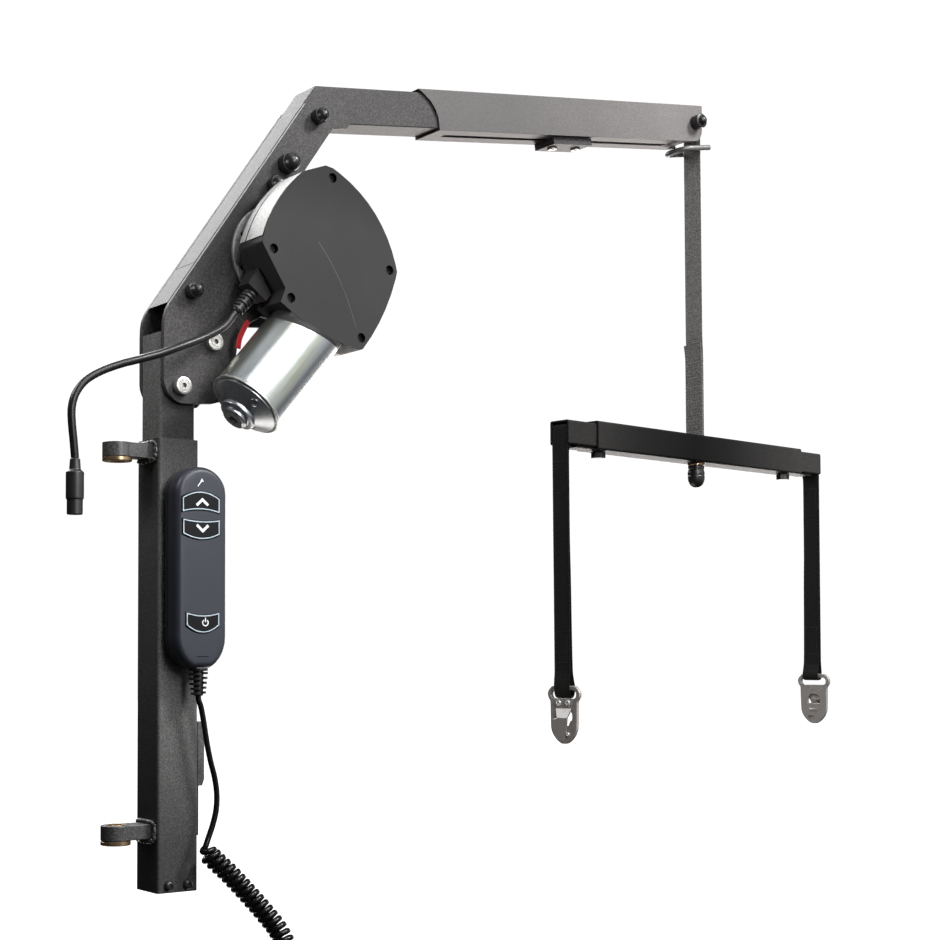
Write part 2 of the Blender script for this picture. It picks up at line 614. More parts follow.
refined("Outer_Mast_Tube", M_MAST, edge=0.35)
refined("Inner_Mast_Tube", M_INNER, edge=0.35)
refined("Mast_End_Plug", M_CAP, edge=0.5)
refined("Mast_Side_Bracket", M_MAST, edge=0.9, segs=3)
refined("Handset_Holder", M_CAP, edge=0.5)
for n in ("Lower_Hinge_Lug", "Upper_Hinge_Lug"):
    refined(n, M_LUG, edge=0.9, segs=3)
for n, z, top in (("Lower_Lug_Bush", 46.0, 14.0), ("Upper_Lug_Bush", 377.5, 13.2)):
    ob = lathe(n + "_Turned", [(6.1, top - 0.5), (6.6, top), (7.6, top), (8.0, top - 0.5), (8.0, -0.1), (12.4, 0.0), (13.0, -0.5),
                               (13.0, -3.2), (12.5, -3.7), (6.7, -3.7), (6.1, -3.1)], Matrix.Translation(W(-50, 0, z)), 64)
    link(ob, M_BRONZE, "mast", n)
for side, x in (("Left", -9.0), ("Right", 9.5)):
    ob = lathe("Mast_Screw_%s_Head" % side, [(0, 2.2), (2.0, 2.1), (2.1, 3.0), (3.0, 2.8), (3.9, 2.1), (4.5, 1.0), (4.7, 0), (1.7, 0),
                                             (1.7, -9), (0, -9)], along((0, -1, 0), W(x, -20.3, 6.2), (1, 0, 0)), 32)
    link(ob, M_BLACK, "mast", "Mast_Screw_" + side)


def bead(name, pts, r, seed, mat, body, lumps=0.35, n=14):
    """Weld bead: a lumpy round strip with closed ends."""
    pts = smooth_path([Vector(p) for p in pts], 0.0007)
    verts, faces = [], []
    for k, p in enumerate(pts):
        d = (pts[min(k + 1, len(pts) - 1)] - pts[max(k - 1, 0)]).normalized()
        u = d.orthogonal().normalized() if k == 0 else (u - d * u.dot(d)).normalized()
        v = d.cross(u)
        t = k / (len(pts) - 1)
        cap = sqrt(max(0.0, 1 - (2 * t - 1) ** 8))
        for i in range(n):
            a = 2 * pi * i / n
            q = p + (u * cos(a) + v * sin(a)) * r * MM
            lump = 1 + lumps * noise.noise(q * 420.0 + Vector((seed, 0, 0))) + 0.10 * sin(k * 1.7)
            verts.append(p + (u * cos(a) + v * sin(a)) * r * MM * cap * lump)
    for k in range(len(pts) - 1):
        for i in range(n):
            j = (i + 1) % n
            faces.append((k * n + i, k * n + j, (k + 1) * n + j, (k + 1) * n + i))
    faces += [tuple(range(n))[::-1], tuple(range((len(pts) - 1) * n, len(pts) * n))]
    return link(welded(mesh_object(name, verts, faces)), mat, body, smooth=70)


M_WELD = powder("Powder coat over weld", 0.035, 0.3, 0.20, 0.6, grain=420.0)
for tag, z0, z1 in (("Lower", 46.3, 59.4), ("Upper", 377.8, 390.1)):
    bead(tag + "_Lug_Weld_Top", [W(-21.4, -15.8, z1 + 0.9), W(-21.4, -6, z1 + 1.0), W(-21.4, 6, z1 + 0.9), W(-21.4, 15.8, z1 + 0.9)],
         2.5, 1.0, M_LUG, "mast", 0.25)
    bead(tag + "_Lug_Weld_Bottom", [W(-21.6, -16.2, z0 - 1.2), W(-21.6, -6, z0 - 1.4), W(-21.6, 6, z0 - 1.2), W(-21.6, 15.8, z0 - 1.2)],
         2.7, 5.0, M_WELD, "mast", 0.6)
    bead(tag + "_Lug_Weld_Side", [W(-21.2, -16.0, z0 - 1.0), W(-21.0, -16.6, (z0 + z1) / 2), W(-21.2, -16.0, z1 + 0.6)],
         1.7, 9.0, M_WELD, "mast", 0.5)

# ------------------------------------------------------------ head and boom
refined("Knee_Cheek_Near", M_CHEEK, edge=0.55, segs=2, clamp=False)
refined("Knee_Cheek_Far", M_CHEEK, edge=0.55, segs=2, clamp=False)
refined("Boom_Tube", M_BOOM, edge=0.3, rules=[
    (2.0, 4, lambda e: corner(e, 17.5) and (bar_edge(UB)(e) or bar_edge(UR)(e)))])
refined("Knee_Cover_Plate", M_CHEEK, edge=0.5)
refined("Beam_Sleeve", M_SLEEVE, edge=0.3, rules=[
    (1.8, 4, lambda e: corner(e, 20.0) and e.verts[0].co.x > 0.30 and bar_edge(UB, 20.0)(e)),
    (1.4, 3, lambda e: corner(e, 20.0) and min(v.co.x for v in e.verts) > 0.69)])
refined("Sleeve_Clamp_Block", M_CHEEK, edge=0.9, segs=3)
for name, s in (("Clamp_Screw_Left", 308.5), ("Clamp_Screw_Right", 341.5)):
    ob = lathe(name + "_Head", [(0, 0.9), (2.1, 0.9), (2.3, 1.8), (4.5, 1.8), (5, 1.3), (5, 0), (2.4, 0), (2.4, -14), (0, -14)],
               along(NB, at(beam_xz(s, 45.55))), 32)
    link(ob, M_BRIGHT, "boom", name)

AXLES = {"Lower": (10.6, 526.1), "Middle": (95.7, 634.6), "Guide": (109.3, 656.2), "Knee": (143.8, 706.7)}
for key, xz in AXLES.items():
    r, c, h = (5.0, 8.9, 9.5) if key == "Guide" else (4.0, 6.9, 8.4 if key == "Middle" else 9.0)
    dome = [(0, h + c - 0.1)] + [((c - 0.55) * sin(radians(t)), h - 0.1 + c * cos(radians(t))) for t in range(10, 81, 10)]
    prof = dome + [(c - 0.45, h + 0.6), (c - 0.1, h + 0.35), (c, h - 0.1), (c, 0.5), (c - 0.4, 0), (r, 0), (r, -46.6),
                   (r * 1.7, -46.6), (r * 1.7, -51.5), (0, -51.5)]
    ob = lathe("Axle_Bolt_%s_Capped" % key, prof, along((0, -1, 0), at(xz, -23.3), (1, 0, 0)), 44)
    link(ob, M_CAP, "boom", "Axle_Bolt_" + key)
    ob = lathe("Axle_Cap_Seam_" + key, [(c - 0.5, h + 0.45), (c - 0.05, h + 0.3), (c + 0.12, h + 0.05), (c - 0.05, h - 0.25), (c - 0.5, h - 0.3)],
               along((0, -1, 0), at(xz, -23.3), (1, 0, 0)), 44)
    link(ob, M_SEAM, "boom")

for name, xz in (("Head_Bolt_Lower", (0.0, 441.0)), ("Head_Bolt_Upper", (32.0, 483.0))):
    fr = along((0, -1, 0), at(xz, -23.3), (1, 0, 0))
    ob = lathe(name + "_Steel", [(0, 6.5), (4.6, 6.5), (4.8, 6.2), (5.2, 6.2), (5.4, 6.5), (7.1, 6.5), (7.8, 6.0), (8, 5.3), (8, 0.4),
                                 (7.6, 0), (5, 0), (5, -54), (0, -54)], fr, 48)
    tool = lathe(name + "_hex", [(0, 9), (2.5, 9), (2.5, 2.8), (0, 2.8)], fr, 6)
    ob = boolean(ob, tool)
    link(ob, M_BRIGHT, "boom", name)

# ------------------------------------------------------------ winch and motor
refined("Gearbox_Flange", M_FLANGE, edge=0.4)
refined("Gearbox_Housing", M_CASE, edge=0.5, angle=40.0)
refined("Gearbox_Cover", M_COVER, edge=0.7, segs=3, angle=40.0)
COVER_HOLES = ((123.4, 632.8), (61.0, 560.2), (78.9, 519.0), (186.4, 557.6), (154.6, 491.6))
for k, xz in enumerate(COVER_HOLES):
    fr = along((0, -1, 0), at(xz, -73.2), (1, 0, 0))
    ob = lathe("Cover_Screw_%d" % (k + 1), [(0, 2.0), (1.4, 2.0), (1.5, 2.6), (3.2, 2.4), (3.8, 1.6), (3.9, 0.1), (0, 0.1)], fr, 28)
    link(ob, M_DARK, "boom")

R = MOTOR_R
SLANT = (UM - 0.2 * YD - 0.39 * Vector((UM.z, 0, -UM.x))).normalized()
foot = W(MOTOR_FOOT[0], MOTOR_Y, MOTOR_FOOT[1])
motor_fr = along(-UM, foot)
can = lathe("Motor_Can_Zinc", [(0, -0.3), (R - 1.5, -0.3), (R - 0.2, -0.35), (R + 0.35, -0.7), (R + 0.5, -1.3), (R + 0.5, -2.8),
                               (R + 0.3, -3.4), (R, -3.9), (R, -60), (R, -106), (0, -106)], motor_fr, 128)
tool = mesh_object("slant", [], [])
bm = bmesh.new()
bmesh.ops.create_cube(bm, size=0.12)
bm.to_mesh(tool.data)
bm.free()
tool.matrix_world = along(SLANT, foot + UM * MOTOR_LEN * MM + SLANT * 0.06)
can = boolean(can, tool)
link(can, M_ZINC, "boom", "Motor_Can", smooth=30)
bell = lathe("Motor_End_Bell_Turned", [(0, 15.6), (2.6, 15.6), (3.2, 14.9), (4.4, 14.9), (4.6, 17.6), (5.4, 18), (9.6, 18), (10.9, 17.6), (12, 16.6),
                                       (12, 13.9), (12.6, 13.5), (15.8, 13.3), (16.7, 12.9), (17, 12.2), (17, 9.9), (17.8, 9.2), (30.9, 1.5),
                                       (31.5, 0.9), (31.6, 0), (0, 0)], motor_fr, 96)
link(bell, M_BELL, "boom", "Motor_End_Bell", smooth=25)
# bright rolled rim where the bell is crimped in
rim = lathe("Motor_Can_Rim", [(R + 0.3, -0.5), (R + 0.9, -0.8), (R + 1.0, -1.7), (R + 0.8, -2.5), (R + 0.3, -2.8)], motor_fr, 128)
link(rim, M_BRIGHT, "boom", smooth=50)
# steel nut face and the two through bolts of the end bell
nut = lathe("Motor_Bearing_Nut", [(4.8, 18.25), (9.4, 18.25), (9.9, 17.9), (9.9, 17.7), (4.8, 17.7)], motor_fr, 12)
link(nut, M_BOSS, "boom", smooth=20)
cone = (Vector((31.2 - 17.8, 0, 1.2 - 9.2))).normalized()
for k, ang in enumerate((0.0, 180.0)):
    a = radians(189.0 + ang)
    rad = motor_fr.to_3x3() @ Vector((cos(a), sin(a), 0))
    axis = motor_fr.to_3x3() @ Vector((0, 0, 1))
    nrm = (rad * 8.0 + axis * 13.4).normalized()
    pos = foot + rad * 25.6 * MM + axis * 4.6 * MM
    ob = lathe("Motor_Through_Bolt_%d" % (k + 1), [(0, 0.9), (1.1, 0.9), (1.3, 1.9), (2.6, 1.9), (3.5, 1.4), (3.8, 0.5), (3.9, -0.3), (0, -0.3)],
               along(nrm, pos), 28)
    link(ob, M_BOSS, "boom", smooth=30)

# bare foil patch on the upper left wall of the case
wall = []
for k in range(15):
    t = 0.03 + 0.94 * k / 14
    x0, z0, x1, z1 = 92.5, 634.0, 49.4, 568.5
    c = hypot(x1 - x0, z1 - z0)
    ux, uz = (x1 - x0) / c, (z1 - z0) / c
    b = 4 * 6.0 * t * (1 - t)
    wall.append((x0 + ux * c * t + uz * b, z0 + uz * c * t - ux * b, ux, uz, t))
vs, fs = [], []
for lift in (0.10, 0.34):
    for x, z, ux, uz, t in wall:
        e = lift
        for y in (-77.6, -70, -60, -50.5):
            vs.append(W(x + uz * e, y, z - ux * e))
n, rows = 4, len(wall)
for k in range(rows - 1):
    for j in range(n - 1):
        a = k * n + j
        fs.append((a, a + 1, a + n + 1, a + n))
        a += rows * n
        fs.append((a, a + n, a + n + 1, a + 1))
off = rows * n
for k in range(rows - 1):
    for j in (0, n - 1):
        a = k * n + j
        fs.append((a, a + n, a + n + off, a + off))
for k in (0, rows - 1):
    for j in range(n - 1):
        a = k * n + j
        fs.append((a, a + 1, a + 1 + off, a + off))
link(mesh_object("Case_Foil_Front", vs, fs), M_LABEL, "boom", smooth=30)
vs2 = []
for lift in (0.10, 0.34):
    for x, z, ux, uz, t in wall:
        for y in (-48.2, -45, -42, -39.9):
            vs2.append(W(x + uz * lift, y, z - ux * lift))
link(mesh_object("Case_Foil_Back", vs2, fs), M_LABEL, "boom", smooth=30)


def stroke(name, pts, width, y, mat, body, thick=0.12, closed=False, facing=-1):
    """Flat raised line drawn on a plane that faces the front, points in (x, z)."""
    n = len(pts)
    verts, faces = [], []
    for k in range(n):
        p = Vector((*pts[k], 0))
        prev = Vector((*pts[k - 1], 0)) if (k > 0 or closed) else None
        nxt = Vector((*pts[(k + 1) % n], 0)) if (k < n - 1 or closed) else None
        d0 = (p - prev).normalized() if prev is not None else None
        d1 = (nxt - p).normalized() if nxt is not None else None
        d0, d1 = d0 or d1, d1 or d0
        n0, n1 = Vector((-d0.y, d0.x, 0)), Vector((-d1.y, d1.x, 0))
        b = n0 + n1
        b = b.normalized() if b.length > 1e-6 else n0
        w = width / 2 / max(0.35, b.dot(n0))
        for s in (-1, 1):
            q = p + b * w * s
            verts.append(W(q.x, y, q.y))
            verts.append(W(q.x, y + facing * thick, q.y))
    last = n if closed else n - 1
    for k in range(last):
        a, c = 4 * k, 4 * ((k + 1) % n)
        faces += [(a, a + 2, c + 2, c), (a + 1, c + 1, c + 3, a + 3), (a, c, c + 1, a + 1), (a + 2, a + 3, c + 3, c + 2)]
    if not closed:
        faces += [(0, 1, 3, 2), (4 * (n - 1), 4 * (n - 1) + 2, 4 * (n - 1) + 3, 4 * (n - 1) + 1)]
    return link(mesh_object(name, verts, faces), mat, body, smooth=30)


# a faint mould line across the cover
M_LINE = plastic("Mould line", 0.07, 0.4, 1500.0, 0.1)
stroke("Cover_Mould_Line", [(108.0, 573.0), (120.0, 558.0), (131.0, 541.0), (140.5, 522.0), (148.5, 501.0)], 0.35, -79.0, M_LINE, "boom",
       0.07)

# red wire between case and motor
tape = smooth_path([W(59.5, -38.5, 503.0), W(55.0, -37.5, 494.5), W(51.5, -36.8, 486.0), W(50.2, -36.5, 477.5)], 0.0012)
vs, fs = [], []
for k, p in enumerate(tape):
    d = (tape[min(k + 1, len(tape) - 1)] - tape[max(k - 1, 0)]).normalized()
    u = (YD - d * d.dot(YD)).normalized()
    v = d.cross(u)
    for x, y in rounded(5.2, 1.5, 0.7, 4):
        vs.append(p + (v * x + u * y) * MM)
n = len(rounded(5.2, 1.5, 0.7, 4))
for k in range(len(tape) - 1):
    for i in range(n):
        j = (i + 1) % n
        fs.append((k * n + i, k * n + j, (k + 1) * n + j, (k + 1) * n + i))
fs += [tuple(range(n)), tuple(range((len(tape) - 1) * n, len(tape) * n))]
link(welded(mesh_object("Motor_Red_Wire", vs, fs)), M_RED, "boom", smooth=50)

lead_plug = refined("Lead_Plug", M_PLUG, edge=0.45, angle=40.0)
relief_fr = along(RELIEF_DIR, relief_top, (0, -1, 0))
core = lathe("Lead_Relief_Core", [(0, 1.5), (6.6, 1.5), (7.0, 2.2), (6.9, 3.6), (6.4, 4.3), (5.3, 4.8), (4.6, 23.6), (4.3, 24.6), (3.5, 25.4), (0, 25.4)],
             relief_fr, 40)
link(core, M_PLUG, "boom", smooth=35)
verts, faces = [], []
for k in range(5):
    z0, rr = 6.0 + 3.9 * k, 7.2 - 0.32 * k
    # each rib covers most of the way round, and its open side alternates
    turn0 = 30 if k % 2 else 210
    base, steps = len(verts), 24
    for i in range(steps + 1):
        a = radians(turn0 + 300 * i / steps)
        for r1, z1 in ((4.2, z0), (rr - 0.35, z0), (rr, z0 + 0.35), (rr, z0 + 1.85), (rr - 0.35, z0 + 2.2), (4.2, z0 + 2.2)):
            verts.append(relief_fr @ Vector((r1 * cos(a) * MM, r1 * sin(a) * MM, z1 * MM)))
    for i in range(steps):
        for j in range(6):
            q = (j + 1) % 6
            faces.append((base + i * 6 + j, base + i * 6 + q, base + (i + 1) * 6 + q, base + (i + 1) * 6 + j))
    faces.append(tuple(base + j for j in range(6)))
    faces.append(tuple(base + steps * 6 + j for j in range(6)))
link(mesh_object("Lead_Relief_Ribs", verts, faces), M_PLUG, "boom", smooth=35)
connector = lathe("Power_Connector_Moulded", [(0, 0), (3.7, 0), (4.2, -0.5), (4.8, -8.6), (5.2, -9.4), (7.0, -10.9), (7.5, -11.6), (7.5, -32.4),
                                              (7.0, -33.6), (6.6, -34), (6.6, -45.4), (6.0, -46), (0, -46)],
                  Matrix.Translation(W(-116.75, -56, 366.6)), 40)
link(connector, M_PLUG, "boom", "Power_Connector")

# ------------------------------------------------------------ strap guide and pulley
for n in ("Knee_Roller", "End_Pulley"):
    finish_node(n, M_CAP)
refined("Strap_Drum", M_BLACK, edge=0.3)
half = [(0, 36), (1.9, 35.7), (3.4, 34.9), (4.5, 33.6), (5.2, 32.0), (5.5, 31.2), (7.2, 31.1), (7.8, 30.6), (7.8, 20.8), (7.4, 20.4), (5, 20.4)]
ob = lathe("Pulley_Axle_Capped", half + [(r, -h) for r, h in reversed(half)], along((0, -1, 0), at(PULLEY), (1, 0, 0)), 44)
link(ob, M_CAP, "sleeve", "Pulley_Axle")
guide = [(-9.5 * cos(radians(-90 + 10 * k)) + 4, 15.9 * sin(radians(-90 + 10 * k))) for k in range(19)]
guide = [(34.5, -15.9), (28, -15.9), (22, -15.9), (16, -15.9), (10, -15.9)] + guide + [(10, 15.9), (16, 15.9), (22, 15.9), (30, 15.9)]
ob = wire("Strap_Guide_Rod", [W(645.0, 0, 768.6 - 0.05 * (34.5 - p[0])) + (UB * p[0] + YD * p[1]) * MM for p in guide], 3.0, 8)
ob = welded(bake(ob))
link(ob, steel("Plated guide rod", 0.17, 0.46, 0.1, 300.0, (1, 0.98, 0.95), 0.5, 0.03), "sleeve", "Strap_Guide", smooth=60, flat=False)


# ------------------------------------------------------------ webbing
def ribbon(name, centre, across, width, thick, closed, rib=2.1, wave=0.10, selvedge=0.28, cols=11, normal_hint=None):
    """Woven strap along a path: cross ribs and a scalloped selvedge in the mesh itself."""
    n = len(centre)
    verts, faces, s = [], [], 0.0
    half = []
    for j in range(cols):
        u = -1 + 2 * j / (cols - 1)
        half.append(u)
    ring = 2 * cols
    for k, p in enumerate(centre):
        if closed:
            d = (centre[(k + 1) % n] - centre[k - 1]).normalized()
        else:
            d = (centre[min(k + 1, n - 1)] - centre[max(k - 1, 0)]).normalized()
        nrm = d.cross(across).normalized()
        if k:
            s += (p - centre[k - 1]).length / MM
        ph = 2 * pi * s / rib
        lift = wave * cos(ph)
        wide = width / 2 + selvedge * 0.5 * cos(ph)
        for side in (1, -1):
            for u in (half if side > 0 else half[::-1]):
                edge = max(0.0, abs(u) - 0.86) / 0.14
                t = (thick / 2 + (lift if side > 0 else -lift * 0 + wave * cos(ph + 0.6))) * (1 - 0.62 * edge * edge)
                ripple = 0.03 * cos(ph * 0.5 + u * 46.0)
                verts.append(p + (across * (u * wide) + nrm * side * (t + ripple)) * MM)
    last = n if closed else n - 1
    for k in range(last):
        a, b = k * ring, ((k + 1) % n) * ring
        for i in range(ring):
            j = (i + 1) % ring
            faces.append((a + i, a + j, b + j, b + i))
    if not closed:
        faces += [tuple(range(ring))[::-1], tuple(range((n - 1) * ring, n * ring))]
    me = bpy.data.meshes.new(name)
    me.from_pydata([tuple(v) for v in verts], [], faces)
    bm = bmesh.new()
    bm.from_mesh(me)
    bmesh.ops.recalc_face_normals(bm, faces=bm.faces)
    bm.to_mesh(me)
    bm.free()
    return bpy.data.objects.new(name, me)


ro, ri = 15.3 + 0.3 + 1.7, 15.3 + 0.3
rc = (ro + ri) / 2
top_a = TILT * 180 / pi + 90 - 1.5
tail = beam_xz(402, 6.3)
turn_pts = [at((PULLEY[0] + rc, 770.2))] + [at(p) for p in arc(PULLEY[0], PULLEY[1], rc, 0, top_a, 40)] + [at(tail)]
turn_fine = []
for a, b in zip(turn_pts, turn_pts[1:]):
    m_ = max(1, round((b - a).length / 0.0006))
    turn_fine += [a.lerp(b, i / m_) for i in range(m_)]
turn_fine.append(turn_pts[-1])
link(ribbon("Strap_Over_Pulley_Webbing", turn_fine, YD, STRAP_W - 0.3, 1.5, False), M_STRAP, "sleeve", "Strap_Over_Pulley", smooth=60)

sx = PULLEY[0] + rc


def straight(points, step=0.0006):
    out = []
    p = smooth_path([W(*q) for q in points], step)
    return p


main_line = [(sx, 0, 769.6), (sx, 0, 740), (sx, 0, 700), (sx, 0, 640), (sx, 0, 590), (sx + 0.1, 0, 560), (sx + 0.7, 0, 545), (sx + 1.05, 0, 530),
             (sx + 1.05, 0, 500), (sx + 1.05, 0, 460), (sx + 1.05, 0, 424.5)]
main = link(ribbon("Lift_Strap_Webbing", straight(main_line), YD, STRAP_W - 0.3, 1.5, False), M_STRAP, None, "Lift_Strap", smooth=60)
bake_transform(main)
lap_line = [(sx - 3.3, 0, 551.5), (sx - 2.5, 0, 547), (sx - 1.5, 0, 540), (sx - 1.0, 0, 530), (sx - 0.95, 0, 510), (sx - 0.95, 0, 480), (sx - 0.95, 0, 450),
            (sx - 0.95, 0, 424.5)]
link(ribbon("Lift_Strap_Lap", straight(lap_line), YD, STRAP_W - 0.1, 1.5, False), M_STRAP, "lift", smooth=60)


def stitches(name, pairs, r, mat, body, nrm):
    """Short raised threads from point to point, each a small closed capsule."""
    verts, faces = [], []
    for p, q in pairs:
        d = (q - p).normalized()
        v = nrm.normalized()
        u = d.cross(v)
        base = len(verts)
        prof = [(0.0, 0.25), (0.12, 0.8), (0.35, 1.0), (0.65, 1.0), (0.88, 0.8), (1.0, 0.25)]
        for t, k in prof:
            c = p.lerp(q, t)
            for i in range(6):
                a = 2 * pi * i / 6
                verts.append(c + (u * cos(a) + v * sin(a) * 0.6) * r * k * MM)
        for s in range(len(prof) - 1):
            for i in range(6):
                j = (i + 1) % 6
                faces.append((base + s * 6 + i, base + s * 6 + j, base + (s + 1) * 6 + j, base + (s + 1) * 6 + i))
        faces.append(tuple(base + i for i in range(6)))
        e = base + (len(prof) - 1) * 6
        faces.append(tuple(e + i for i in range(6)))
    ob = mesh_object(name, verts, faces)
    return link(ob, mat, body, smooth=60)


def stitch_line(a, b, step, gap):
    d = (b - a)
    n = max(1, int(d.length / (step * MM)))
    out = []
    for k in range(n):
        p = a.lerp(b, k / n)
        q = a.lerp(b, (k + 1 - gap) / n)
        out.append((p, q))
    return out


rows = []
xs = sx - 1.95
for y in (-9.6, -5.8, -1.9, 1.9, 5.8, 9.6):
    rows += stitch_line(W(xs, y, 538.5), W(xs, y, 456), 3.4, 0.3)
for z in (538.5, 456.0):
    rows += stitch_line(W(xs, -9.6, z), W(xs, 9.6, z), 2.9, 0.3)
stitches("Lift_Strap_Stitching", rows, 0.42, M_THREAD, "lift", Vector((-1, 0, 0)))

for side, sg in (("Left", -1), ("Right", 1)):
    pin = sg * (ARM_END - 5.2)
    loop_z = LOOP_Z[side]
    mid = BAR_MID
    # distance outward along the bar from the pin's plane, and height
    slack = 5.6 if side == "Left" else 0.6
    outer = [(3.2, loop_z + 16), (3.4, loop_z + 60), (3.6, loop_z + 110), (3.9, mid - 110), (4.1, mid - 60), (4.3, mid - 25), (4.4, mid - 12), (4.4, mid + 4),
             (3.4, mid + 7.6), (0, mid + 8.9), (-3.0, mid + 7.4), (-4.15, mid + 3.5), (-4.15, mid - 1.5), (-3.2, mid - 6), (-0.6, mid - 10.5), (1.6, mid - 15.5),
             (2.5, mid - 24)]
    inner = [(2.4, mid - 60), (2.1, mid - 110), (1.0, loop_z + 110), (0.2, loop_z + 60), (-0.8, loop_z + 20), (-2.4, loop_z + 9.0), (-3.8, loop_z + 3.6)]
    low = [(4.2 * cos(radians(t)), loop_z + (4.2 + (slack if t > 180 else 0)) * sin(radians(t))) for t in (180, 210, 240, 270, 300, 330, 360)]
    loop = outer + inner + low + [(4.3, loop_z + 5.0)]
    pts = [bar_point(pin + sg * x, 0, z) for x, z in loop]
    fine = smooth_path(pts + [pts[0]], 0.00062)[:-1]
    link(ribbon(side + "_Strap_Webbing", fine, ND, 20.8, 1.35, True, wave=0.05), M_STRAPS, side.lower() + "_strap", side + "_Strap", smooth=60)
    rows = []
    for z0, z1, x_out, x_in in ((mid - 30, mid - 62, 4.95, 1.75), (loop_z + 58, loop_z + 26, 4.05, -1.15)):
        for face in (x_out, x_in):
            for n_ in (-7.6, 7.6):
                rows += stitch_line(bar_point(pin + sg * face, n_, z0), bar_point(pin + sg * face, n_, z1), 3.0, 0.3)
            for z in (z0, z1):
                rows += stitch_line(bar_point(pin + sg * face, -7.6, z), bar_point(pin + sg * face, 7.6, z), 2.6, 0.3)
    stitches(side + "_Strap_Stitching", rows, 0.36, webbing(side + " stitching", 0.018, -BAR_YAW, 1.6, pitch=0.7), side.lower() + "_strap", UD)

# ------------------------------------------------------------ swivel and spreader
refined("Spreader_Tube", M_BAR, edge=0.35)
for side in ("Left", "Right"):
    refined(side + "_Arm", M_BAR, edge=0.3)
    refined(side + "_Arm_Bolt", M_BLACK, edge=0.4)
ob = lathe("Swivel_Bolt_Steel", [(0, 5.9), (10.8, 5.9), (11.7, 5.5), (12, 4.9), (12, 2.8), (11.6, 2.3), (5, 2.3), (5, -22), (0, -22)],
           Matrix.Translation(W(STRAP_X, 0, BAR_LOW)), 40)
link(ob, M_BLACK, "lift", "Swivel_Bolt")
ob = lathe("Swivel_Washer_Bronze", [(5.3, -0.3), (9.4, -0.3), (9.6, -0.6), (9.6, -2.1), (9.4, -2.3), (5.3, -2.3)],
           Matrix.Translation(W(STRAP_X, 0, BAR_LOW)), 48)
link(ob, M_BRONZE, "lift", "Swivel_Washer")
prof = [(0, -22.6), (5.3, -22.6), (5.3, -2.6), (8.6, -2.6), (9.0, -3.1), (9.0, -5.9), (8.6, -6.4), (8.6, -7.2), (9.0, -7.7), (9.0, -9.6), (9.5, -10.6),
        (9.5, -12.9), (9.2, -13.5), (9.2, -14.1), (9.5, -14.7), (9.4, -17.5), (8.9, -20.3), (7.9, -22.9), (6.2, -25.2), (3.4, -26.8), (0, -27.3)]
ob = lathe("Swivel_Nut_Cap", prof, Matrix.Translation(W(STRAP_X, 0, BAR_LOW)), 48)
link(ob, M_CAP, "lift", "Swivel_Nut", smooth=28)

# ------------------------------------------------------------ connectors
WIDTHS = [(13.0, 2.3), (17.5, .3), (20.2, -2.2), (21.5, -5.4), (21.2, -8.4), (19.8, -11.2), (18.3, -13.6), (18.0, -20.0),
          (17.8, -32.0), (17.3, -40.8), (16.3, -44.4), (14.0, -48.4), (10.6, -52.2), (6.6, -55.2), (2.6, -56.9)]


def curve_through(points, per=5, closed=True):
    """Catmull-Rom through flat points."""
    out, n = [], len(points)
    for i in range(n if closed else n - 1):
        g = [Vector((*points[(i + k) % n if closed else max(0, min(n - 1, i + k))], 0)) for k in (-1, 0, 1, 2)]
        for j in range(per):
            t = j / per
            q = 0.5 * ((2 * g[1]) + (g[2] - g[0]) * t + (2 * g[0] - 5 * g[1] + 4 * g[2] - g[3]) * t * t
                       + (3 * g[1] - 3 * g[2] + g[3] - g[0]) * t ** 3)
            out.append((q.x, q.y))
    return out


